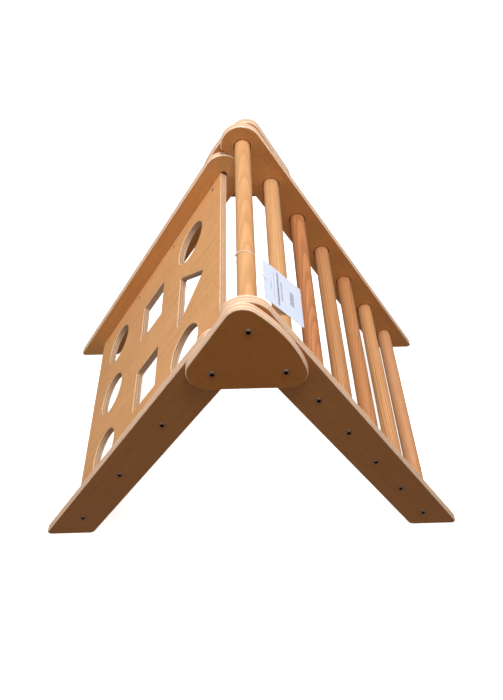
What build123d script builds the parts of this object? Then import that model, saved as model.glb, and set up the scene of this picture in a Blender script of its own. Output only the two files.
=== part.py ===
from build123d import *
import os
from math import cos, radians, sin, sqrt, tan

# Folding climbing triangle for toddlers: a ladder frame with round rungs and a panel frame with
# a board full of cut-outs, joined by rounded gussets at the apex. The panel frame folds towards
# the ladder about its two pivot screws.
#
# Frame: X across the triangle (ladder on +X, panel on -X), Y along the rungs, Z up.
# The origin is on the floor, under the middle of the top rung. Millimetres.
# "along" is measured down a leg from its own apex point, "out" is at right angles to the leg,
# towards the climbing side.

# ---------------------------------------------------------------- driving dimensions

# whole triangle
LEAN = 33.0                     # slope of every leg, from the vertical, degrees
CLEAR_WIDTH = 540.0             # between the two ladder legs
FOOT_ALONG = 750.0              # where a leg's centre line meets the floor

# plywood
PLY = 18.0
BOARD_PLY = 15.0
EDGE_ROUND = 3.0                # rounded edges of legs and gussets
HOLE_ROUND = 2.0                # rounded rims of the board's cut-outs

# legs
LEG_WIDTH = 90.0
LADDER_TOP_RISE = 4.0           # a ladder leg's round end sits this far past the top rung
FOOT_TIP_ROUND = 8.0            # sharp outer corner of a foot
FOOT_HEEL_ROUND = 16.0          # blunt inner corner of a foot

# rungs
RUNG_COUNT = 7
RUNG_PITCH = 115.0
RUNG_RADIUS = 17.0
RUNG_END_CHAMFER = 1.5
SOCKET_RADIUS = 17.5
SOCKET_DEPTH = 8.0
SOCKET_RIM_ROUND = 1.5

# gussets, both cut alike: the near one bows over the ladder and the far one is turned round
GUSSET_STRAIGHT_LEAN = 31.4     # slope of the straight side, from the vertical
GUSSET_STRAIGHT_REACH = 48.2    # from the top rung's axis to the straight side
GUSSET_BOW_RADIUS = 304.0
GUSSET_BOW_REACH = 38.1         # from the top rung's axis to the bowed side
GUSSET_BOW_RISE = 44.7          # direction of that reach, above the level
GUSSET_CROWN_ROUND = 32.3
GUSSET_STRAIGHT_ROUND = 42.0    # lower corner on the straight side
GUSSET_BOW_ROUND = 36.5         # lower corner on the bowed side

# fold
FOLD_GAP = 0.4                  # panel frame clear of the gussets and of the ladder legs' inner plane
NOTCH_GAP = 0.8                 # panel leg's round top clear of the ladder leg's notch when open
PIVOT_TO_END_CENTRE = 40.0      # the round top's centre lies this far above the pivot
PIVOT_PLAY = 0.05               # radial running clearance of the pivot screws

# climbing board
BOARD_ABOVE_PIVOT = 37.0
BOARD_LENGTH = 626.0
GROOVE_DEPTH = 6.0
GROOVE_PLAY = 0.1               # each side of the board
SQUARE_ALONG = 102.0
SQUARE_ACROSS = 113.0
CUTOUT_CORNER_ROUND = 4.0
CIRCLE_RADIUS = 52.5
TRIANGLE_HEIGHT = 104.0
TRIANGLE_BASE = 160.0
COLUMN_PITCH = 167.0            # between the circles and the triangle of one row
SQUARE_PITCH = 213.0            # between the two squares
UPPER_ROW = 97.0                # rows of cut-outs, below the pivot
MIDDLE_ROW = 273.0
LOWER_ROW = 469.0
TRIANGLE_TIP = 30.0             # sharp tip of the triangle, below the pivot

# fasteners: M6 furniture screws with button heads and hexagon sockets
SCREW_RADIUS = 3.0
SCREW_CLEARANCE_RADIUS = 3.2
HEAD_RADIUS = 7.0
HEAD_HEIGHT = 3.8
HEAD_RIM = 0.5                  # straight rim under the head's dome
HEX_RADIUS = 2.9                # to the corners
HEX_DEPTH = 2.4
INSERT_RADIUS = 5.0
INSERT_LENGTH = 25.0
RUNG_BORE_DEPTH = 35.0          # narrow bore behind the insert, for the screw's tip
LEG_SCREW_LENGTH = 35.0
GUSSET_SCREW_LENGTH = 50.0
PANEL_SCREW_LENGTH = 45.0
PIVOT_SCREW_LENGTH = 65.0
PANEL_SCREW_PITCH = 185.5
PANEL_SCREW_COUNT = 4           # the pivot screw is the first
SCREW_TIP_ROOM = 4.0            # the board's screw holes run this far past the screw tips
HEAD_GAP = 0.3                  # under the heads of the pivot screws, so that the gussets turn freely
BARREL_RADIUS = 5.0
BARREL_LENGTH = 12.0
BARREL_INSET = 21.0             # barrel nut's axis to the leg's inner face

# card tag on a string round the top rung
TAG_ALONG = 106.0
TAG_ACROSS = 109.0
TAG_THICKNESS = 0.6
TAG_CORNER_ROUND = 2.0
TAG_TILT = 10.4                 # off the ladder's slope
TAG_Y = -127.0
TAG_OVERHANG = 11.7             # tag's centre above its line of contact with the second rung
TAG_LIFT = 0.4                  # clear of the rung
TAG_HOLE_RADIUS = 2.5
TAG_HOLE_INSET = 6.0
STRING_RADIUS = 0.6
KNOT_RADIUS = 1.8
KNOT_END_ROUND = 1.0

# ---------------------------------------------------------------- derived places

COS = cos(radians(LEAN))
SIN = sin(radians(LEAN))
APEX_Z = FOOT_ALONG * COS
HALF_CLEAR = CLEAR_WIDTH / 2
LEG_FACE = HALF_CLEAR + PLY
GUSSET_FACE = LEG_FACE + PLY
PANEL_INNER = HALF_CLEAR - FOLD_GAP
PANEL_FACE = PANEL_INNER + PLY
HALF_LEG = LEG_WIDTH / 2
PIVOT_ALONG = RUNG_PITCH
END_ALONG = PIVOT_ALONG - PIVOT_TO_END_CENTRE
SIDES = {"near": -1, "far": 1}


def on_leg(direction, along, out=0.0):
    """X and Z of a point on a leg that leans towards +X (direction 1) or -X (direction -1)."""
    x = direction * (along * SIN + out * COS)
    z = APEX_Z - along * COS + out * SIN
    return x, z


def leg_plane(direction, y, along=0.0):
    """Plane at depth y on a leg: its X runs down the leg and its Y points out of the slope."""
    x, z = on_leg(direction, along)
    return Plane(
        origin=(x, y, z),
        x_dir=(direction * SIN, 0, -COS),
        z_dir=(0, -direction, 0),
    )


def face_plane(x, y, z, side):
    """Plane on an outer face: its Z points away from the triangle on that side."""
    return Plane(origin=(x, y, z), x_dir=(1, 0, 0), z_dir=(0, side, 0))


DOME_RISE = HEAD_HEIGHT - HEAD_RIM
DOME_RADIUS = (HEAD_RADIUS**2 + DOME_RISE**2) / (2 * DOME_RISE)
DOME_MIDDLE = (
    HEAD_RADIUS / 2,
    HEAD_HEIGHT - DOME_RADIUS + sqrt(DOME_RADIUS**2 - HEAD_RADIUS**2 / 4),
)
PIVOT_X, PIVOT_Z = on_leg(-1, PIVOT_ALONG)
RUNG_PLACES = [on_leg(1, index * RUNG_PITCH) for index in range(RUNG_COUNT)]
GUSSET_RUNGS = 2                # the first rungs, whose screws also hold the gussets
PANEL_SCREW_ALONGS = [PIVOT_ALONG + index * PANEL_SCREW_PITCH for index in range(PANEL_SCREW_COUNT)]


# ---------------------------------------------------------------- shared shapes

def leg_outline(plane, top_along):
    """A leg's outline: round top, straight sides and a level foot with rounded corners."""
    tip_along = (APEX_Z + HALF_LEG * SIN) / COS
    heel_along = (APEX_Z - HALF_LEG * SIN) / COS
    with BuildSketch(plane) as outline:
        with BuildLine():
            Polyline(
                (top_along, HALF_LEG),
                (tip_along, HALF_LEG),
                (heel_along, -HALF_LEG),
                (top_along, -HALF_LEG),
            )
            ThreePointArc((top_along, -HALF_LEG), (top_along - HALF_LEG, 0), (top_along, HALF_LEG))
        make_face()
        fillet(outline.vertices().sort_by(Axis.X)[-1], FOOT_TIP_ROUND)
        heel = outline.vertices().sort_by_distance((heel_along, -HALF_LEG))[0]
        fillet(heel, FOOT_HEEL_ROUND)
    return outline.sketch


def round_slab_edges(slab):
    """Round the edges of a slab's two large faces."""
    rims = slab.faces().filter_by(Axis.Y).edges()
    fillet(rims, EDGE_ROUND)


def add_screw(x, y, z, side, length):
    """Add a button-head screw whose head stands out of the face at depth y."""
    half_profile = Plane(origin=(x, y, z), x_dir=(1, 0, 0), z_dir=(0, 0, side))
    with BuildSketch(half_profile) as profile:
        with BuildLine():
            Polyline((0, HEAD_HEIGHT), (0, -length), (SCREW_RADIUS, -length), (SCREW_RADIUS, 0))
            Polyline((SCREW_RADIUS, 0), (HEAD_RADIUS, 0), (HEAD_RADIUS, HEAD_RIM))
            ThreePointArc((HEAD_RADIUS, HEAD_RIM), DOME_MIDDLE, (0, HEAD_HEIGHT))
        make_face()
    revolve(profile.sketch, axis=Axis((x, y, z), (0, side, 0)))
    with BuildSketch(face_plane(x, y + side * HEAD_HEIGHT, z, side)) as hexagon:
        RegularPolygon(radius=HEX_RADIUS, side_count=6)
    extrude(hexagon.sketch, amount=-HEX_DEPTH, mode=Mode.SUBTRACT)


def drill(x, y, z, side, radius, depth):
    """Drill a hole from the face at depth y inwards."""
    with BuildSketch(face_plane(x, y, z, side)) as mouth:
        Circle(radius)
    extrude(mouth.sketch, amount=-depth, mode=Mode.SUBTRACT)


def finish(part, label):
    """Label a finished piece and write it."""
    part.label = label
    export_step(part, f"parts/{label}.step")


os.makedirs("parts", exist_ok=True)

# ---------------------------------------------------------------- ladder legs

for name, side in SIDES.items():
    low, high = sorted((side * HALF_CLEAR, side * LEG_FACE))
    with BuildPart() as ladder_leg:
        extrude(leg_outline(leg_plane(1, high), -LADDER_TOP_RISE), amount=PLY)
        round_slab_edges(ladder_leg)
        # notch that takes the round top of the panel leg and stops it when the triangle is open
        end_x, end_z = on_leg(-1, END_ALONG)
        notch = Plane(origin=(end_x, high, end_z), x_dir=(-COS, 0, SIN), z_dir=(0, -1, 0))
        with BuildSketch(notch):
            Circle(HALF_LEG + NOTCH_GAP)
            Rectangle(
                LEG_WIDTH,
                LEG_WIDTH + 2 * NOTCH_GAP,
                align=(Align.MIN, Align.CENTER),
            )
        extrude(amount=PLY, mode=Mode.SUBTRACT)
        # blind sockets for the rungs, open towards the middle, and the screws' clearance holes
        for x, z in RUNG_PLACES:
            drill(x, side * HALF_CLEAR, z, -side, SOCKET_RADIUS, SOCKET_DEPTH)
            drill(x, side * LEG_FACE, z, side, SCREW_CLEARANCE_RADIUS, PLY)
        inner_rims = ladder_leg.edges().filter_by(GeomType.CIRCLE)
        rims = [
            edge
            for edge in inner_rims
            if abs(edge.radius - SOCKET_RADIUS) < 0.01
            and abs(edge.center().Y - side * HALF_CLEAR) < 0.01
        ]
        fillet(rims, SOCKET_RIM_ROUND)
    finish(ladder_leg.part, f"ladder_leg_{name}")

# ---------------------------------------------------------------- rungs and their inserts

RUNG_HALF_LENGTH = HALF_CLEAR + SOCKET_DEPTH

for index, (x, z) in enumerate(RUNG_PLACES, start=1):
    with BuildPart() as rung:
        with BuildSketch(face_plane(x, RUNG_HALF_LENGTH, z, 1)):
            Circle(RUNG_RADIUS)
        extrude(amount=-2 * RUNG_HALF_LENGTH)
        chamfer(rung.edges().filter_by(GeomType.CIRCLE), RUNG_END_CHAMFER)
        for side in SIDES.values():
            drill(x, side * RUNG_HALF_LENGTH, z, side, INSERT_RADIUS, INSERT_LENGTH)
            drill(x, side * RUNG_HALF_LENGTH, z, side, SCREW_CLEARANCE_RADIUS, RUNG_BORE_DEPTH)
    finish(rung.part, f"rung_{index}")

with BuildPart() as rung_inserts:
    for x, z in RUNG_PLACES:
        for side in SIDES.values():
            with BuildSketch(face_plane(x, side * RUNG_HALF_LENGTH, z, side)):
                Circle(INSERT_RADIUS)
                Circle(SCREW_RADIUS, mode=Mode.SUBTRACT)
            extrude(amount=-INSERT_LENGTH)
finish(rung_inserts.part, "rung_inserts")

# ---------------------------------------------------------------- gussets

for name, side in SIDES.items():
    face_y = side * GUSSET_FACE
    back_y = side * LEG_FACE
    lean = radians(GUSSET_STRAIGHT_LEAN)
    rise = radians(GUSSET_BOW_RISE)
    to_bow_centre = GUSSET_BOW_REACH - GUSSET_BOW_RADIUS
    base_z = PIVOT_Z - APEX_Z - GUSSET_STRAIGHT_ROUND
    gusset_plane = Plane(origin=(0, back_y, APEX_Z), x_dir=(-side, 0, 0), z_dir=(0, side, 0))
    with BuildPart() as gusset:
        with BuildSketch(gusset_plane) as outline:
            with Locations((to_bow_centre * cos(rise), to_bow_centre * sin(rise))):
                Circle(GUSSET_BOW_RADIUS)
            with Locations((-GUSSET_STRAIGHT_REACH * cos(lean), GUSSET_STRAIGHT_REACH * sin(lean))):
                Rectangle(
                    GUSSET_BOW_RADIUS,
                    2 * GUSSET_BOW_RADIUS,
                    rotation=-GUSSET_STRAIGHT_LEAN,
                    align=(Align.MIN, Align.CENTER),
                    mode=Mode.INTERSECT,
                )
            with Locations((0, base_z)):
                Rectangle(
                    2 * GUSSET_BOW_RADIUS,
                    GUSSET_BOW_RADIUS,
                    align=(Align.CENTER, Align.MIN),
                    mode=Mode.INTERSECT,
                )
            fillet(outline.vertices().sort_by(Axis.Y)[-1], GUSSET_CROWN_ROUND)
            fillet(outline.vertices().sort_by(Axis.X)[0], GUSSET_STRAIGHT_ROUND)
            fillet(outline.vertices().sort_by(Axis.X)[-1], GUSSET_BOW_ROUND)
        extrude(amount=PLY)
        round_slab_edges(gusset)
        for x, z in RUNG_PLACES[:GUSSET_RUNGS]:
            drill(x, face_y, z, side, SCREW_CLEARANCE_RADIUS, PLY)
        drill(PIVOT_X, face_y, PIVOT_Z, side, SCREW_RADIUS + PIVOT_PLAY, PLY)
    finish(gusset.part, f"gusset_{name}")

# ---------------------------------------------------------------- ladder screws

for name, side in SIDES.items():
    with BuildPart() as gusset_screws:
        for x, z in RUNG_PLACES[:GUSSET_RUNGS]:
            add_screw(x, side * GUSSET_FACE, z, side, GUSSET_SCREW_LENGTH)
    finish(gusset_screws.part, f"gusset_screws_{name}")
    with BuildPart() as rung_screws:
        for x, z in RUNG_PLACES[GUSSET_RUNGS:]:
            add_screw(x, side * LEG_FACE, z, side, LEG_SCREW_LENGTH)
    finish(rung_screws.part, f"rung_screws_{name}")

# ---------------------------------------------------------------- panel legs

BOARD_TOP = PIVOT_ALONG - BOARD_ABOVE_PIVOT
BOARD_END = BOARD_TOP + BOARD_LENGTH
HALF_BOARD = PANEL_INNER + GROOVE_DEPTH - GROOVE_PLAY

for name, side in SIDES.items():
    low, high = sorted((side * PANEL_INNER, side * PANEL_FACE))
    groove_low, groove_high = sorted((side * PANEL_INNER, side * (PANEL_INNER + GROOVE_DEPTH)))
    with BuildPart() as panel_leg:
        extrude(leg_outline(leg_plane(-1, low), END_ALONG), amount=PLY)
        round_slab_edges(panel_leg)
        # stopped groove with round ends that takes the board's end
        with BuildSketch(leg_plane(-1, groove_low)):
            with Locations(((BOARD_TOP + BOARD_END) / 2, 0)):
                SlotCenterToCenter(BOARD_LENGTH, BOARD_PLY + 2 * GROOVE_PLAY)
        extrude(amount=GROOVE_DEPTH, mode=Mode.SUBTRACT)
        for along in PANEL_SCREW_ALONGS:
            x, z = on_leg(-1, along)
            drill(x, side * PANEL_FACE, z, side, SCREW_CLEARANCE_RADIUS, PLY)
    finish(panel_leg.part, f"panel_leg_{name}")

# ---------------------------------------------------------------- climbing board

board_x, board_z = on_leg(-1, PIVOT_ALONG, BOARD_PLY / 2)
# on the board's outer face, level with the pivot: local X runs across, local Y up the slope
BOARD_FACE = Plane(origin=(board_x, 0, board_z), x_dir=(0, -1, 0), z_dir=(-COS, 0, SIN))
BARREL_Y = PANEL_INNER - BARREL_INSET
BARREL_PLACES = [
    (side * BARREL_Y, PIVOT_ALONG - along)
    for side in SIDES.values()
    for along in PANEL_SCREW_ALONGS
]


def circle_row(row, columns):
    """Cut circles through the board, in one row."""
    with BuildSketch(BOARD_FACE) as circles:
        with Locations([(column, -row) for column in columns]):
            Circle(CIRCLE_RADIUS)
    extrude(circles.sketch, amount=-BOARD_PLY, mode=Mode.SUBTRACT)


def triangle_cutout():
    """Cut the triangle, tip up, with rounded corners."""
    base_y = -TRIANGLE_TIP - TRIANGLE_HEIGHT
    with BuildSketch(BOARD_FACE) as outline:
        Polygon(
            (0, -TRIANGLE_TIP),
            (-TRIANGLE_BASE / 2, base_y),
            (TRIANGLE_BASE / 2, base_y),
            align=None,
        )
        fillet(outline.vertices(), CUTOUT_CORNER_ROUND)
    extrude(outline.sketch, amount=-BOARD_PLY, mode=Mode.SUBTRACT)


def square_cutouts():
    """Cut the two squares of the middle row."""
    with BuildSketch(BOARD_FACE) as outline:
        with Locations((-SQUARE_PITCH / 2, -MIDDLE_ROW), (SQUARE_PITCH / 2, -MIDDLE_ROW)):
            Rectangle(SQUARE_ACROSS, SQUARE_ALONG)
        fillet(outline.vertices(), CUTOUT_CORNER_ROUND)
    extrude(outline.sketch, amount=-BOARD_PLY, mode=Mode.SUBTRACT)


with BuildPart() as climbing_board:
    with BuildSketch(BOARD_FACE):
        with Locations((0, BOARD_ABOVE_PIVOT)):
            Rectangle(2 * HALF_BOARD, BOARD_LENGTH, align=(Align.CENTER, Align.MAX))
    extrude(amount=-BOARD_PLY)
    circle_row(UPPER_ROW, (-COLUMN_PITCH, COLUMN_PITCH))
    triangle_cutout()
    square_cutouts()
    circle_row(LOWER_ROW, (-COLUMN_PITCH, 0, COLUMN_PITCH))
    large_faces = climbing_board.faces().sort_by(SortBy.AREA)[-2:]
    fillet(large_faces.edges(), HOLE_ROUND)
    with BuildSketch(BOARD_FACE):
        with Locations(BARREL_PLACES):
            Circle(BARREL_RADIUS)
    extrude(amount=-(BOARD_PLY + BARREL_LENGTH) / 2, mode=Mode.SUBTRACT)
    screw_hole_depth = HALF_BOARD - PANEL_FACE + PANEL_SCREW_LENGTH + SCREW_TIP_ROOM
    for along in PANEL_SCREW_ALONGS:
        x, z = on_leg(-1, along)
        for side in SIDES.values():
            drill(x, side * HALF_BOARD, z, side, SCREW_CLEARANCE_RADIUS, screw_hole_depth)
finish(climbing_board.part, "climbing_board")

# ---------------------------------------------------------------- panel fasteners

with BuildPart() as barrel_nuts:
    with BuildSketch(BOARD_FACE.offset(-(BOARD_PLY - BARREL_LENGTH) / 2)):
        with Locations(BARREL_PLACES):
            Circle(BARREL_RADIUS)
    extrude(amount=-BARREL_LENGTH)
    for along in PANEL_SCREW_ALONGS:
        x, z = on_leg(-1, along)
        drill(x, HALF_CLEAR, z, 1, SCREW_RADIUS, CLEAR_WIDTH)
finish(barrel_nuts.part, "barrel_nuts")

for name, side in SIDES.items():
    with BuildPart() as panel_screws:
        for along in PANEL_SCREW_ALONGS[1:]:
            x, z = on_leg(-1, along)
            add_screw(x, side * PANEL_FACE, z, side, PANEL_SCREW_LENGTH)
    finish(panel_screws.part, f"panel_screws_{name}")
    with BuildPart() as pivot_screw:
        head_y = side * (GUSSET_FACE + HEAD_GAP)
        add_screw(PIVOT_X, head_y, PIVOT_Z, side, PIVOT_SCREW_LENGTH)
    finish(pivot_screw.part, f"pivot_screw_{name}")

# ---------------------------------------------------------------- card tag and its string

tilt = radians(TAG_TILT)
rung_x, rung_z = RUNG_PLACES[1]
down_x = SIN * cos(tilt) + COS * sin(tilt)
down_z = SIN * sin(tilt) - COS * cos(tilt)
tag_lift = RUNG_RADIUS + TAG_LIFT
# underside of the tag: local X runs down the slope, local Y along the rungs
TAG_UNDERSIDE = Plane(
    origin=(
        rung_x - down_z * tag_lift - down_x * TAG_OVERHANG,
        TAG_Y,
        rung_z + down_x * tag_lift - down_z * TAG_OVERHANG,
    ),
    x_dir=(down_x, 0, down_z),
    z_dir=(-down_z, 0, down_x),
)

with BuildPart() as hang_tag:
    with BuildSketch(TAG_UNDERSIDE):
        RectangleRounded(TAG_ALONG, TAG_ACROSS, TAG_CORNER_ROUND)
        with Locations((TAG_HOLE_INSET - TAG_ALONG / 2, 0)):
            Circle(TAG_HOLE_RADIUS, mode=Mode.SUBTRACT)
    extrude(amount=TAG_THICKNESS)
finish(hang_tag.part, "hang_tag")

# The string's route, as X, Y, Z from the middle of the top rung: from the knot on the left of the
# rung over its top, down through the tag's hole and back under the rung to the knot.
STRING_ROUTE = [
    (-15.4, -115.3, 11.0),
    (-9.5, -117.0, 16.8),
    (2.0, -119.5, 18.8),
    (12.8, -121.0, 14.4),
    (19.3, -122.4, 3.5),
    (19.8, -123.3, -7.5),
    (21.5, -124.4, -19.5),
    (27.0, -125.7, -31.0),
    (37.5, -127.0, -38.9),
    (31.2, -127.1, -45.4),
    (22.5, -126.0, -40.8),
    (9.5, -123.5, -31.5),
    (-4.5, -120.0, -22.5),
    (-16.0, -117.0, -13.0),
    (-20.6, -115.0, -4.0),
    (-19.2, -114.7, 4.0),
]


def corner_radii(points):
    """Radius at each inner point: 0.45 of the shorter run over the tangent of half the turn."""
    radii = []
    for before, here, after in zip(points, points[1:], points[2:]):
        run_in = Vector(*here) - Vector(*before)
        run_out = Vector(*after) - Vector(*here)
        half_turn = radians(run_in.get_angle(run_out)) / 2
        radii.append(0.45 * min(run_in.length, run_out.length) / tan(half_turn))
    return radii


string_points = [(x, y, APEX_Z + z) for x, y, z in STRING_ROUTE]
string_radii = corner_radii(string_points)
print("string radii", [round(radius, 1) for radius in string_radii])
with BuildPart() as tag_string:
    with BuildLine() as route:
        FilletPolyline(*string_points, radius=string_radii)
    with BuildSketch(Plane(origin=route.line @ 0, z_dir=route.line % 0)):
        Circle(STRING_RADIUS)
    sweep()
print("string length", round(route.wires()[0].length, 1))
finish(tag_string.part, "tag_string")

# the knot that closes the loop lies between the route's two ends
knot_low = Vector(*string_points[-1])
knot_high = Vector(*string_points[0])
with BuildPart() as string_knot:
    with BuildSketch(Plane(origin=knot_low, z_dir=knot_high - knot_low)):
        Circle(KNOT_RADIUS)
    extrude(amount=(knot_high - knot_low).length)
    fillet(string_knot.edges().filter_by(GeomType.CIRCLE), KNOT_END_ROUND)
finish(string_knot.part, "string_knot")
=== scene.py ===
from math import cos, pi, radians, sin

import bpy
from mathutils import Matrix, Vector


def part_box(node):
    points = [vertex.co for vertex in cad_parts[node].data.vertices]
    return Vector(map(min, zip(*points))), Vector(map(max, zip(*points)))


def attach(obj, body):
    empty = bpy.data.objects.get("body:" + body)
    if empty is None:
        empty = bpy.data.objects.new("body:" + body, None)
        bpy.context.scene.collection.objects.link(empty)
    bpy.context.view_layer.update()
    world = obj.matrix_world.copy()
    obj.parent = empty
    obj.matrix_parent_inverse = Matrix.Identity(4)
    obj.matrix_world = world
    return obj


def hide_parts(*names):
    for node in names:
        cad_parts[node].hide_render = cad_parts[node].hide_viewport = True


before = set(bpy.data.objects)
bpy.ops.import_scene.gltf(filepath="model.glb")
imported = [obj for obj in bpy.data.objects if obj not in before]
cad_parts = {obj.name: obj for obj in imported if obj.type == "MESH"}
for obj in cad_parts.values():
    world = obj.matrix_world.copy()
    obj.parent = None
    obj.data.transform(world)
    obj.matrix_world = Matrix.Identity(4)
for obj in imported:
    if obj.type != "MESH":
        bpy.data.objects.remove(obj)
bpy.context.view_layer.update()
scene = bpy.context.scene

# ---------------------------------------------------------------- places taken from the frame

LEAN = radians(33)                      # each side leans this far from vertical
ALONG_LADDER = Vector((sin(LEAN), 0, -cos(LEAN)))
ALONG_PANEL = Vector((-sin(LEAN), 0, -cos(LEAN)))
OUT_OF_LADDER = Vector((cos(LEAN), 0, sin(LEAN)))
OUT_OF_PANEL = Vector((-cos(LEAN), 0, sin(LEAN)))
DEPTH = Vector((0, 1, 0))
RUNGS = [f"rung_{index}" for index in range(1, 8)]
SIDES = ("near", "far")


def middle(node):
    """Centre of a CAD node's box."""
    low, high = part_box(node)
    return (Vector(low) + Vector(high)) / 2


# ---------------------------------------------------------------- camera

CAMERA_PLACE = Vector((-0.0070, -1.1278, 1.4194))
CAMERA_YAW = radians(0.82)
CAMERA_PITCH = radians(45.35)
CAMERA_ROLL = radians(0.91)
CAMERA_LENS = 36.74


def add_camera():
    """Camera that looks down along the rungs from the near side."""
    forward = Vector((
        sin(CAMERA_YAW) * cos(CAMERA_PITCH),
        cos(CAMERA_YAW) * cos(CAMERA_PITCH),
        -sin(CAMERA_PITCH),
    ))
    level_right = Vector((cos(CAMERA_YAW), -sin(CAMERA_YAW), 0))
    level_down = forward.cross(level_right)
    right = cos(CAMERA_ROLL) * level_right + sin(CAMERA_ROLL) * level_down
    down = cos(CAMERA_ROLL) * level_down - sin(CAMERA_ROLL) * level_right
    data = bpy.data.cameras.new("camera")
    data.lens = CAMERA_LENS
    data.sensor_width = 36
    data.clip_end = 50
    camera = bpy.data.objects.new("camera", data)
    axes = Matrix((right, -down, -forward)).transposed()
    camera.matrix_world = Matrix.Translation(CAMERA_PLACE) @ axes.to_4x4()
    scene.collection.objects.link(camera)
    scene.camera = camera


add_camera()

# ---------------------------------------------------------------- the tag's string and its knot

TOP_RUNG = middle("rung_1")
STRING_RADIUS = 0.0006
STRING_STRANDS = 3
STRING_TURN = 0.0036                    # one full turn of the strands
STRING_GROOVE = 0.35                    # depth of the grooves between strands, part of the radius
KNOT_RADIUS = 0.0012
KNOT_WRAPS = 6
KNOT_LOW_TAIL = (-0.0026, 0.0024)       # along the knot, and aside
KNOT_HIGH_TAIL = (0.0022, -0.0012)
STRING_ROUTE = (
    # control points, from the top rung's middle
    (-0.0154, -0.1153, 0.0110),
    (-0.0095, -0.1170, 0.0168),
    (0.0020, -0.1195, 0.0188),
    (0.0128, -0.1210, 0.0144),
    (0.0193, -0.1224, 0.0035),
    (0.0198, -0.1233, -0.0075),
    (0.0215, -0.1244, -0.0195),
    (0.0270, -0.1257, -0.0310),
    (0.0375, -0.1270, -0.0389),
    (0.0312, -0.1271, -0.0454),
    (0.0225, -0.1260, -0.0408),
    (0.0095, -0.1235, -0.0315),
    (-0.0045, -0.1200, -0.0225),
    (-0.0160, -0.1170, -0.0130),
    (-0.0206, -0.1150, -0.0040),
    (-0.0192, -0.1147, 0.0040),
)


def smooth_line(name, points, resolution):
    """Points along the NURBS spline whose control points these are."""
    data = bpy.data.curves.new(name, "CURVE")
    data.dimensions = "3D"
    data.resolution_u = resolution
    spline = data.splines.new("NURBS")
    spline.points.add(len(points) - 1)
    for control, place in zip(spline.points, points):
        control.co = (*place, 1)
    spline.order_u = 3
    spline.use_endpoint_u = True
    curve = bpy.data.objects.new(name, data)
    scene.collection.objects.link(curve)
    mesh = bpy.data.meshes.new_from_object(curve)
    line = [vertex.co.copy() for vertex in mesh.vertices]
    bpy.data.objects.remove(curve)
    bpy.data.meshes.remove(mesh)
    return line


def twisted_tube(name, line):
    """String of twisted strands along a line: its round section has one lobe for each strand."""
    around = STRING_STRANDS * 6
    vertices = []
    faces = []
    side = (line[1] - line[0]).orthogonal().normalized()
    travelled = 0
    for index, place in enumerate(line):
        before = line[max(index - 1, 0)]
        after = line[min(index + 1, len(line) - 1)]
        tangent = (after - before).normalized()
        side = (side - side.dot(tangent) * tangent).normalized()
        other = tangent.cross(side)
        travelled += (place - before).length
        for step in range(around):
            angle = 2 * pi * step / around
            lobe = abs(cos((angle * STRING_STRANDS - travelled / STRING_TURN * 2 * pi) / 2))
            reach = STRING_RADIUS * (1 - STRING_GROOVE * (1 - lobe))
            vertices.append(place + reach * (cos(angle) * side + sin(angle) * other))
            if index:
                a = (index - 1) * around + step
                b = (index - 1) * around + (step + 1) % around
                faces.append((a, b, b + around, a + around))
    last = len(vertices) - around
    faces.append(tuple(reversed(range(around))))
    faces.append(tuple(range(last, last + around)))
    mesh = bpy.data.meshes.new(name)
    mesh.from_pydata(vertices, [], faces)
    mesh.shade_smooth()
    tube = bpy.data.objects.new(name, mesh)
    scene.collection.objects.link(tube)
    return tube


def barrel_knot(name, low, high):
    """Wraps round the line from low to high, with a short tail past each end."""
    axis = (high - low).normalized()
    side = axis.orthogonal().normalized()
    other = axis.cross(side)
    steps = 12 * KNOT_WRAPS
    points = [low + KNOT_LOW_TAIL[0] * axis + KNOT_LOW_TAIL[1] * other]
    for step in range(steps + 1):
        angle = 2 * pi * KNOT_WRAPS * step / steps
        along = low.lerp(high, step / steps)
        points.append(along + KNOT_RADIUS * (cos(angle) * side + sin(angle) * other))
    points.append(high + KNOT_HIGH_TAIL[0] * axis + KNOT_HIGH_TAIL[1] * side)
    return twisted_tube(name, smooth_line(f"{name}_route", points, resolution=4))


string_points = [TOP_RUNG + Vector(point) for point in STRING_ROUTE]
string_line = smooth_line("string_route", string_points, resolution=24)
string = twisted_tube("string_twisted", string_line)
knot = barrel_knot("knot_wraps", string_line[-1], string_line[0])
for thing, node in ((string, "tag_string"), (knot, "string_knot")):
    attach(thing, "ladder_frame")
    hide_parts(node)

# ---------------------------------------------------------------- shader helpers


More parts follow.
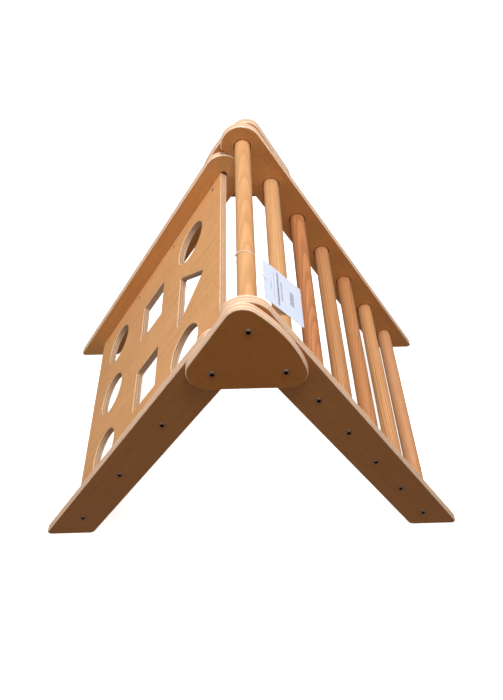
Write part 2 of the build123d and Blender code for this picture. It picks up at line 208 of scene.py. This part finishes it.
class Graph:
    """The shader nodes of one material, with short calls for the ones used often."""

    def __init__(self, name):
        self.material = bpy.data.materials.new(name)
        self.material.use_nodes = True
        self.tree = self.material.node_tree
        self.tree.nodes.clear()

    def add(self, kind, inputs=None, **settings):
        """A new node with its settings, and its inputs set or linked."""
        node = self.tree.nodes.new(kind)
        for key, value in settings.items():
            setattr(node, key, value)
        for key, value in (inputs or {}).items():
            if isinstance(value, bpy.types.NodeSocket):
                self.tree.links.new(value, node.inputs[key])
            else:
                node.inputs[key].default_value = value
        return node

    def math(self, operation, a, b=0.0):
        return self.add("ShaderNodeMath", {0: a, 1: b}, operation=operation).outputs[0]

    def plus(self, a, b):
        return self.math("ADD", a, b)

    def minus(self, a, b):
        return self.math("SUBTRACT", a, b)

    def times(self, a, b):
        return self.math("MULTIPLY", a, b)

    def reach(self, a, b):
        """Length of the vector with these two parts."""
        return self.math("SQRT", self.plus(self.times(a, a), self.times(b, b)))

    def dot(self, a, axis):
        node = self.add("ShaderNodeVectorMath", {0: a, 1: axis}, operation="DOT_PRODUCT")
        return node.outputs["Value"]

    def at(self, *parts):
        """A place in noise space: each part is a number, or a value and its scale."""
        scaled = [self.times(*part) if isinstance(part, tuple) else part for part in parts]
        return self.add("ShaderNodeCombineXYZ", dict(enumerate(scaled))).outputs[0]

    def stretch(self, place, x, y, z):
        """The place scaled along each axis."""
        return self.add("ShaderNodeMapping", {0: place, 3: (x, y, z)}).outputs[0]

    def noise(self, place, detail=2.0, roughness=0.5):
        inputs = {"Vector": place, "Scale": 1.0, "Detail": detail, "Roughness": roughness}
        return self.add("ShaderNodeTexNoise", inputs).outputs[0]

    def fit(self, value, low, high, to_low=0.0, to_high=1.0):
        """The value's range from low to high, smoothly stretched to another range."""
        inputs = {"Value": value, 1: low, 2: high, 3: to_low, 4: to_high}
        return self.add("ShaderNodeMapRange", inputs, interpolation_type="SMOOTHSTEP").outputs[0]

    def band(self, value, low, high, soft):
        """One between low and high, fading to zero outside."""
        rise = self.fit(value, low - soft, low)
        fall = self.fit(value, high, high + soft, 1.0, 0.0)
        return self.times(rise, fall)

    def mix(self, factor, a, b):
        return self.add("ShaderNodeMix", {0: factor, 6: a, 7: b}, data_type="RGBA").outputs[2]

    def tint(self, factor, color, tint):
        """The colour multiplied by a tint, as far as the factor says."""
        inputs = {0: factor, 6: color, 7: tint}
        return self.add("ShaderNodeMix", inputs, data_type="RGBA", blend_type="MULTIPLY").outputs[2]

    def finish(self, color, roughness, height, bump, bump_distance, **settings):
        """Ends the graph in a principled shader with bump."""
        normal = self.add(
            "ShaderNodeBump",
            {"Height": height, "Strength": bump, "Distance": bump_distance},
        ).outputs[0]
        inputs = {"Base Color": color, "Roughness": roughness, "Normal": normal}
        for key, value in settings.items():
            inputs[key.replace("_", " ")] = value
        shader = self.add("ShaderNodeBsdfPrincipled", inputs)
        output = self.add("ShaderNodeOutputMaterial")
        self.tree.links.new(shader.outputs[0], output.inputs[0])
        return self.material


def rgb(red, green, blue):
    """An opaque colour."""
    return (red, green, blue, 1.0)


def shade(color, factor):
    """A colour made lighter or darker."""
    return rgb(*(channel * factor for channel in color[:3]))


def dress(material, *nodes):
    """Gives CAD nodes this material."""
    for node in nodes:
        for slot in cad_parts[node].material_slots:
            slot.link = "OBJECT"
            slot.material = material


# ---------------------------------------------------------------- plywood


def from_row(graph, position, first, along, across, pitch):
    """Distance from the nearest axis in a row of evenly spaced ones, across the row's plane."""
    turns = graph.math("DIVIDE", graph.minus(graph.dot(position, along), first.dot(along)), pitch)
    part = graph.times(graph.minus(graph.math("FRACT", graph.plus(turns, 0.5)), 0.5), pitch)
    return graph.reach(part, graph.minus(graph.dot(position, across), first.dot(across)))


# distances from the rung's axis, in metres, where the painted shade in the socket's gap fades out and the
# painted highlight on the socket's rounded rim lies
SOCKET_SHADE_FADE = (0.0188, 0.0198)
SOCKET_HIGHLIGHT_RING = (0.0202, 0.0210)
# distance from the board's side where its shadow line fades out
SEAM_FADE = (0.0006, 0.0018)
SHADOW_COLOR = (0.13, 0.050, 0.018)


class Ply:
    """A kind of plywood: its thickness, layers and colours."""

    def __init__(self, thickness, layers, face, edge, rim_highlight, figure, ripple):
        self.thickness = thickness
        self.layers = layers
        self.face = face
        self.edge = edge
        self.rim_highlight = rim_highlight
        self.figure = figure
        self.ripple = ripple


def plywood(name, ply, along, across, inwards, face_point, seed, sockets=None, width=None):
    """Lacquered birch plywood: veneer on the faces, stacked layers on the edges and hole walls.

    Sockets is a row of rung axes to ring with painted shade in the gap and a painted highlight on the rim,
    width a board's, between its painted shadow lines.
    """
    graph = Graph(name)
    place = graph.add("ShaderNodeTexCoord")
    position = place.outputs["Object"]
    u = graph.dot(position, along)
    v = graph.dot(position, across)
    w = graph.minus(graph.dot(position, inwards), face_point.dot(inwards))

    # veneer: broad figure, soft blotches and fine fibres, all drawn out along the grain
    drift = graph.noise(graph.at((u, 3.1), (v, 7.0), seed))
    bent = graph.plus(v, graph.times(drift, 0.030))
    figure = graph.noise(graph.at((u, 2.4), (bent, 120.0), seed + 3.0), 3, 0.6)
    fine = graph.noise(graph.at((u, 16.0), (bent, 420.0), seed + 5.0), 3, 0.6)
    blotch = graph.noise(graph.at((u, 11.0), (v, 24.0), seed + 9.0), 3)
    ripple = graph.noise(graph.at((u, 210.0), (bent, 42.0), seed + 7.0), 3, 0.6)
    mottle = graph.noise(graph.at((u, 130.0), (v, 190.0), seed + 2.0), 4, 0.7)
    pores = graph.noise(graph.at((u, 95.0), (bent, 1500.0), seed))
    pore = graph.fit(pores, 0.62, 0.74)
    veneer = graph.mix(
        graph.fit(figure, 0.32, 0.68),
        shade(ply.face, 1 - ply.figure),
        shade(ply.face, 1 + ply.figure),
    )
    veneer = graph.tint(graph.fit(mottle, 0.30, 0.70, 0.8, 0.0), veneer, rgb(0.90, 0.88, 0.85))
    veneer = graph.tint(graph.fit(blotch, 0.25, 0.75, 0.9, 0.0), veneer, rgb(0.95, 0.92, 0.88))
    veneer = graph.tint(graph.fit(fine, 0.30, 0.75, 0.0, 0.5), veneer, rgb(0.84, 0.78, 0.70))
    veneer = graph.mix(graph.fit(ripple, 0.40, 0.75, 0.0, ply.ripple), veneer, shade(ply.face, 1.22))
    veneer = graph.mix(graph.times(pore, 0.22), veneer, shade(ply.face, 0.52))

    # edges: layers along and across in turn, with a thin glue line between them
    waver = graph.noise(graph.at((u, 22.0), (v, 22.0), (w, 240.0)))
    layer = graph.math("DIVIDE", graph.plus(w, graph.times(waver, 0.0036)), ply.thickness / ply.layers)
    number = graph.math("FLOOR", layer)
    within = graph.math("FRACT", layer)
    crosswise = graph.math("MODULO", graph.math("ABSOLUTE", number), 2.0)
    tone = graph.noise(graph.at((number, 7.31), (u, 9.0), seed))
    streak = graph.noise(graph.at((u, 60.0), (v, 60.0), (w, 1100.0)), 3, 0.6)
    spots = graph.fit(graph.noise(graph.at((u, 240.0), (v, 240.0), (w, 700.0))), 0.60, 0.72)
    long_grain = graph.mix(graph.fit(tone, 0.3, 0.7), shade(ply.edge, 0.92), shade(ply.edge, 1.10))
    end_grain = graph.mix(graph.fit(tone, 0.3, 0.7), shade(ply.edge, 0.70), shade(ply.edge, 0.88))
    end_grain = graph.tint(1.0, end_grain, rgb(1.0, 0.90, 0.84))
    stack = graph.mix(crosswise, long_grain, end_grain)
    stack = graph.mix(graph.fit(streak, 0.40, 0.70, 0.0, 0.50), stack, shade(ply.edge, 0.66))
    stack = graph.mix(graph.times(spots, 0.35), stack, shade(ply.edge, 0.42))
    off_middle = graph.math("ABSOLUTE", graph.minus(within, 0.5))
    stack = graph.mix(graph.fit(off_middle, 0.40, 0.49, 0.0, 0.5), stack, shade(ply.edge, 0.30))

    # rounded rims: painted pale all round, a painted highlight along the roundover
    facing = graph.math("ABSOLUTE", graph.dot(place.outputs["Normal"], inwards))
    on_rim = graph.fit(facing, 0.18, 0.45)
    on_face = graph.fit(facing, 0.90, 0.985)
    rim_highlight = graph.mix(graph.fit(streak, 0.35, 0.70), shade(ply.rim_highlight, 1.04), shade(ply.rim_highlight, 0.82))
    color = graph.mix(on_rim, stack, rim_highlight)
    color = graph.mix(on_face, color, veneer)

    # painted shade and highlight: the gap round each rung is painted near black, and a paler ring just
    # outside it is a painted highlight on the socket's rounded rim
    if sockets:
        distance = from_row(graph, position, *sockets)
        inner = graph.fit(w, ply.thickness * 0.50, ply.thickness * 0.52)
        socket_highlight = graph.band(distance, *SOCKET_HIGHLIGHT_RING, 0.0005)
        color = graph.mix(graph.times(graph.times(socket_highlight, inner), 0.5), color, shade(ply.face, 1.35))
        socket_shade = graph.times(graph.fit(distance, *SOCKET_SHADE_FADE, 1.0, 0.0), inner)
        color = graph.mix(socket_shade, color, rgb(0.13, 0.035, 0.010))

    if width:
        off_side = graph.minus(width / 2, graph.math("ABSOLUTE", graph.minus(v, face_point.dot(across))))
        color = graph.mix(graph.fit(off_side, *SEAM_FADE, 0.85, 0.0), color, rgb(*SHADOW_COLOR))

    rough = graph.plus(graph.fit(blotch, 0.2, 0.8, 0.42, 0.54), graph.times(pore, 0.10))
    across_edge = graph.times(graph.minus(1.0, on_face), graph.times(streak, 0.8))
    height = graph.plus(graph.times(graph.times(fine, on_face), 0.6), across_edge)
    return graph.finish(color, rough, height, 0.35, 0.0004, Specular_IOR_Level=0.30)


FRAME_PLY = 0.018
BOARD_PLY = 0.015
EDGE_COLOR = rgb(0.90, 0.61, 0.42)
# painted highlight colour for the rounded rims
RIM_HIGHLIGHT_COLOR = rgb(0.91, 0.67, 0.49)
# painted light and shade: each piece's wood comes as a darker near copy and a paler far copy, standing for
# the dim light on the near outer faces and the brighter light on the far inner faces
PANEL_LEG_LIT_AND_SHADED = {"near": rgb(0.56, 0.225, 0.072), "far": rgb(0.71, 0.345, 0.125)}
LADDER_LEG_LIT_AND_SHADED = {"near": rgb(0.55, 0.220, 0.070), "far": rgb(0.62, 0.262, 0.082)}
GUSSET_LIT_AND_SHADED = {"near": rgb(0.56, 0.205, 0.045), "far": rgb(0.62, 0.250, 0.075)}
BOARD = Ply(BOARD_PLY, 5, rgb(0.78, 0.41, 0.18), rgb(0.66, 0.44, 0.29), rgb(0.86, 0.56, 0.33), 0.05, 0.25)
RUNG_PITCH = 0.115
RUNG_ROW = (TOP_RUNG, ALONG_LADDER, OUT_OF_LADDER, RUNG_PITCH)


def outer_face(node, side):
    """A point on the outer face of an upright slab."""
    low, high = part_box(node)
    return Vector(low) if side == "near" else Vector(high)


for number, side in enumerate(SIDES):
    inwards = DEPTH if side == "near" else -DEPTH
    for node, lit_and_shaded, along, across, seed, sockets in (
        (f"ladder_leg_{side}", LADDER_LEG_LIT_AND_SHADED, ALONG_LADDER, OUT_OF_LADDER, 1.7, RUNG_ROW),
        (f"panel_leg_{side}", PANEL_LEG_LIT_AND_SHADED, ALONG_PANEL, OUT_OF_PANEL, 5.3, None),
        (f"gusset_{side}", GUSSET_LIT_AND_SHADED, ALONG_LADDER, OUT_OF_LADDER, 8.9, None),
    ):
        ply = Ply(FRAME_PLY, 5, lit_and_shaded[side], EDGE_COLOR, RIM_HIGHLIGHT_COLOR, 0.03, 0.10)
        face_point = outer_face(node, side)
        dress(plywood(node, ply, along, across, inwards, face_point, seed + number, sockets), node)

board_face = middle("climbing_board") + OUT_OF_PANEL * BOARD_PLY / 2
between_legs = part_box("panel_leg_far")[0][1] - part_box("panel_leg_near")[1][1]
board_wood = plywood(
    "board", BOARD, ALONG_PANEL, DEPTH, -OUT_OF_PANEL, board_face, 12.4, width=between_legs
)
dress(board_wood, "climbing_board")

# ---------------------------------------------------------------- rungs


def dowel(name, centre, wood, seed):
    """Turned hardwood: yearly rings round a tilted pith show as stripes and flames."""
    pale, dark, ring, strength, pith, tilt = wood
    graph = Graph(name)
    position = graph.add("ShaderNodeTexCoord").outputs["Object"]
    x = graph.minus(graph.dot(position, Vector((1, 0, 0))), centre.x)
    y = graph.dot(position, DEPTH)
    z = graph.minus(graph.dot(position, Vector((0, 0, 1))), centre.z)
    sway = graph.noise(graph.at((y, 5.0), seed, seed), 2)
    pith_x = graph.plus(graph.times(y, tilt[0]), graph.plus(graph.times(sway, 0.007), pith[0]))
    pith_z = graph.plus(graph.times(y, tilt[1]), graph.plus(graph.times(sway, 0.005), pith[1]))
    from_pith = graph.reach(graph.minus(x, pith_x), graph.minus(z, pith_z))
    growth = graph.noise(graph.at((from_pith, 260.0), (y, 1.2), seed), 2)
    rings = graph.math("FRACT", graph.plus(graph.math("DIVIDE", from_pith, ring), graph.times(growth, 0.9)))
    late = graph.times(graph.fit(rings, 0.25, 0.85), graph.fit(rings, 0.88, 1.0, 1.0, 0.0))
    vessels = graph.noise(graph.at((x, 1100.0), (graph.plus(y, seed), 14.0), (z, 1100.0)), 2)
    vessel = graph.fit(vessels, 0.60, 0.72)
    broad = graph.noise(graph.at((x, 70.0), (y, 3.0), (z, 45.0)), 2)
    fibre = graph.noise(graph.at((x, 950.0), (y, 30.0), (z, 950.0)), 3, 0.6)
    specks = graph.noise(graph.at((x, 750.0), (graph.plus(y, seed), 90.0), (z, 750.0)))
    speck = graph.fit(specks, 0.66, 0.78)
    color = graph.mix(graph.fit(broad, 0.30, 0.70, 0.0, 0.45), pale, dark)
    color = graph.mix(graph.times(late, strength), color, shade(dark, 0.72))
    color = graph.mix(graph.times(vessel, 0.45), color, shade(dark, 0.60))
    color = graph.tint(graph.fit(fibre, 0.32, 0.75, 0.0, 0.5), color, rgb(0.86, 0.80, 0.72))
    color = graph.mix(graph.times(speck, 0.35), color, shade(pale, 1.20))
    rough = graph.fit(late, 0.0, 1.0, 0.44, 0.36)
    return graph.finish(color, rough, fibre, 0.25, 0.0003, Specular_IOR_Level=0.35)


# pale and dark wood, ring width, how strongly the rings show, pith (X, Z) and its tilt
RUNG_WOODS = (
    (rgb(0.70, 0.380, 0.175), rgb(0.62, 0.285, 0.110), 0.0050, 0.35, (-0.012, -0.040), (0.02, 0.06)),
    (rgb(0.69, 0.385, 0.180), rgb(0.60, 0.295, 0.120), 0.0046, 0.35, (0.030, -0.030), (0.03, 0.01)),
    (rgb(0.63, 0.270, 0.112), rgb(0.51, 0.180, 0.066), 0.0040, 0.60, (-0.020, -0.030), (0.05, 0.03)),
    (rgb(0.67, 0.338, 0.148), rgb(0.50, 0.202, 0.077), 0.0036, 0.60, (0.045, -0.020), (0.01, 0.02)),
    (rgb(0.62, 0.281, 0.113), rgb(0.52, 0.212, 0.080), 0.0038, 0.50, (-0.040, -0.030), (0.02, 0.04)),
    (rgb(0.83, 0.440, 0.200), rgb(0.63, 0.274, 0.103), 0.0038, 0.65, (0.050, -0.012), (0.01, 0.03)),
    (rgb(0.75, 0.380, 0.188), rgb(0.65, 0.300, 0.138), 0.0060, 0.25, (0.020, -0.045), (0.03, 0.02)),
)

for index, (rung, wood) in enumerate(zip(RUNGS, RUNG_WOODS)):
    dress(dowel(rung, middle(rung), wood, 2.0 + 1.3 * index), rung)

# ---------------------------------------------------------------- screws, nuts and inserts


SCREW_SOCKET_SHADE_FADE = (0.0034, 0.0046)    # from the screw's axis, where the painted shade in the hex recess fades out


def metal(name, color, roughness, scratches, row=None):
    """Plated steel or brass with fine handling marks, and painted shade in the sockets of a row of screws.
    """
    graph = Graph(name)
    position = graph.add("ShaderNodeTexCoord").outputs["Object"]
    wear = graph.noise(graph.stretch(position, 300, 300, 300), 4, 0.6)
    marks = graph.noise(graph.stretch(position, 2600, 300, 1900))
    tint = graph.mix(graph.fit(wear, 0.3, 0.7), shade(color, 0.80), shade(color, 1.12))
    rough = graph.fit(wear, 0.25, 0.75, roughness - 0.06, roughness + 0.10)
    if row:
        # painted shade: the hex sockets of the screws are darkened to near black
        distance = from_row(graph, position, *row)
        screw_shade = graph.fit(distance, *SCREW_SOCKET_SHADE_FADE, 1.0, 0.0)
        tint = graph.mix(screw_shade, tint, rgb(0.020, 0.012, 0.009))
    return graph.finish(tint, rough, marks, scratches, 0.0001, Metallic=1.0)


STEEL_COLOR = rgb(0.52, 0.36, 0.27)
PIVOT = middle("pivot_screw_near")
PANEL_PITCH = (middle("panel_screws_near") - PIVOT).dot(ALONG_PANEL) / 2
ladder_steel = metal("ladder_steel", STEEL_COLOR, 0.22, 0.12, RUNG_ROW)
panel_steel = metal("panel_steel", STEEL_COLOR, 0.22, 0.12, (PIVOT, ALONG_PANEL, OUT_OF_PANEL, PANEL_PITCH))
# near black: partly the nut's own dark steel, partly painted shade standing for the shadow in its recess
nut_steel = metal("nut_steel", rgb(0.045, 0.030, 0.024), 0.55, 0.15)
brass = metal("insert_brass", rgb(0.70, 0.55, 0.28), 0.35, 0.15)
for side in SIDES:
    dress(ladder_steel, f"gusset_screws_{side}", f"rung_screws_{side}")
    dress(panel_steel, f"panel_screws_{side}", f"pivot_screw_{side}")
dress(nut_steel, "barrel_nuts")
dress(brass, "rung_inserts")

# ---------------------------------------------------------------- card tag and string

TAG_SLOPE = radians(43.4)               # how far the tag hangs from straight down
TAG_LENGTH = 0.106
TAG_HOLE_OFFSET = 0.047                 # from the tag's centre
TAG_HOLE_SHADOW_FADE = (0.0029, 0.0036)        # from the hole's middle, where its painted shadow ring fades out
INK_COLOR = (0.10, 0.11, 0.14)
TAG_PRINT = (
    # generic bars in place of print: down the tag, across it, how dark
    (0.180, 0.200, 0.34, 0.64, 0.35),
    (0.262, 0.276, 0.15, 0.80, 0.35),
    (0.350, 0.390, 0.07, 0.91, 0.80),
    (0.445, 0.475, 0.26, 0.74, 0.60),
    (0.680, 0.780, 0.32, 0.67, 0.60),
)


def card_stock(name, node):
    """Smooth coated card with a faint tooth, bars of generic print on its upper side and a painted shadow
    round its hole.
    """
    graph = Graph(name)
    place = graph.add("ShaderNodeTexCoord")
    position = place.outputs["Object"]
    down = Vector((sin(TAG_SLOPE), 0, -cos(TAG_SLOPE)))
    up = Vector((cos(TAG_SLOPE), 0, sin(TAG_SLOPE)))
    low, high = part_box(node)
    centre = middle(node)
    along = graph.minus(graph.dot(position, down), centre.dot(down))
    across = graph.minus(centre.y, graph.dot(position, DEPTH))
    from_hole = graph.reach(graph.plus(along, TAG_HOLE_OFFSET), across)
    along = graph.plus(graph.math("DIVIDE", along, TAG_LENGTH), 0.5)
    across = graph.plus(graph.math("DIVIDE", across, high[1] - low[1]), 0.5)
    tooth = graph.noise(graph.stretch(position, 900, 900, 900), 4, 0.6)
    cloud = graph.noise(graph.stretch(position, 30, 30, 30))
    color = graph.mix(graph.fit(cloud, 0.3, 0.7), rgb(0.70, 0.76, 0.92), rgb(0.74, 0.79, 0.94))
    breaks = graph.noise(graph.at((across, 58.0), (along, 30.0), 3.0))
    upper = graph.fit(graph.dot(place.outputs["Normal"], up), 0.6, 0.8)
    ink = graph.times(graph.fit(breaks, 0.36, 0.50, 0.15, 1.0), upper)
    for top, bottom, left, right, strength in TAG_PRINT:
        bar = graph.times(graph.band(along, top, bottom, 0.006), graph.band(across, left, right, 0.006))
        color = graph.mix(graph.times(graph.times(bar, ink), strength), color, rgb(*INK_COLOR))
    # painted shadow: a dark ring round the tag's hole, standing for the shade in its punched edge
    ring = graph.fit(from_hole, *TAG_HOLE_SHADOW_FADE, 0.75, 0.0)
    color = graph.mix(ring, color, rgb(0.10, 0.10, 0.13))
    rough = graph.fit(tooth, 0.3, 0.7, 0.42, 0.55)
    return graph.finish(color, rough, tooth, 0.12, 0.0001, Specular_IOR_Level=0.4)


def thread(name):
    """Twisted cotton."""
    graph = Graph(name)
    position = graph.add("ShaderNodeTexCoord").outputs["Object"]
    fuzz = graph.noise(graph.stretch(position, 4000, 4000, 4000), 3, 0.7)
    color = graph.mix(graph.fit(fuzz, 0.3, 0.7), rgb(0.86, 0.82, 0.76), rgb(0.97, 0.95, 0.92))
    return graph.finish(color, 0.85, fuzz, 0.5, 0.0002, Sheen_Weight=0.2)


cotton = thread("cotton")
string.data.materials.append(cotton)
knot.data.materials.append(cotton)
dress(card_stock("card", "hang_tag"), "hang_tag")

# ---------------------------------------------------------------- floor and light


FLOOR_REACH = 12
FLOOR_GLOW = 0.75                       # emission that keeps the floor near white


def add_floor():
    """Pale floor that shows to the camera but doesn't bounce light."""
    mesh = bpy.data.meshes.new("floor")
    corners = [(x * FLOOR_REACH, y * FLOOR_REACH, 0) for x, y in ((-1, -1), (1, -1), (1, 1), (-1, 1))]
    mesh.from_pydata(corners, [], [(0, 1, 2, 3)])
    graph = Graph("floor")
    grain = graph.noise(graph.add("ShaderNodeTexCoord").outputs["Object"])
    color = graph.mix(grain, rgb(0.88, 0.88, 0.88), rgb(0.90, 0.90, 0.90))
    mesh.materials.append(
        graph.finish(
            color,
            0.9,
            grain,
            0.02,
            0.001,
            Specular_IOR_Level=0.0,
            Emission_Color=rgb(1, 1, 1),
            Emission_Strength=FLOOR_GLOW,
        )
    )
    floor = bpy.data.objects.new("floor", mesh)
    scene.collection.objects.link(floor)
    floor.visible_diffuse = False
    floor.visible_glossy = False


def add_softbox(name, place, target, size, power):
    """Rectangular area light that faces the target."""
    data = bpy.data.lights.new(name, "AREA")
    data.shape = "RECTANGLE"
    data.size, data.size_y = size
    data.energy = power
    light = bpy.data.objects.new(name, data)
    light.location = place
    light.rotation_mode = "QUATERNION"
    light.rotation_quaternion = (Vector(target) - Vector(place)).to_track_quat("-Z", "Y")
    scene.collection.objects.link(light)


# how high in the sky, from 0 straight down to 1 straight up, and the colour there
SKY_BELOW = (0.30, (0.205, 0.190, 0.168))
SKY_LEVEL = (0.50, (0.105, 0.101, 0.095))
SKY_ABOVE = (0.95, (0.52, 0.507, 0.485))


def add_sky():
    """Soft room light: bright overhead, dim at the sides, warm from below."""
    world = bpy.data.worlds.new("studio")
    world.use_nodes = True
    scene.world = world
    tree = world.node_tree
    direction = tree.nodes.new("ShaderNodeTexCoord")
    height = tree.nodes.new("ShaderNodeSeparateXYZ")
    ramp = tree.nodes.new("ShaderNodeValToRGB")
    tree.links.new(direction.outputs["Generated"], height.inputs[0])
    shifted = tree.nodes.new("ShaderNodeMapRange")
    shifted.inputs[1].default_value = -1
    tree.links.new(height.outputs[2], shifted.inputs[0])
    tree.links.new(shifted.outputs[0], ramp.inputs[0])
    stops = ramp.color_ramp.elements
    for stop, (position, color) in zip(stops, (SKY_BELOW, SKY_ABOVE)):
        stop.position = position
        stop.color = rgb(*color)
    stops.new(SKY_LEVEL[0]).color = rgb(*SKY_LEVEL[1])
    tree.links.new(ramp.outputs[0], tree.nodes["Background"].inputs[0])


# name, place, target, width and depth, power in watts
SOFTBOXES = (
    ("overhead", (0.12, -0.07, 2.2), (0, -0.07, 0.3), (1.7, 0.42), 28),
    ("left", (-1.8, -0.07, 1.3), (0, -0.07, 0.35), (1.0, 0.42), 13),
    ("right", (1.8, -0.07, 1.3), (0, -0.07, 0.35), (1.0, 0.42), 7.5),
)

add_floor()
for softbox in SOFTBOXES:
    add_softbox(*softbox)
add_sky()
scene.view_settings.view_transform = "Standard"
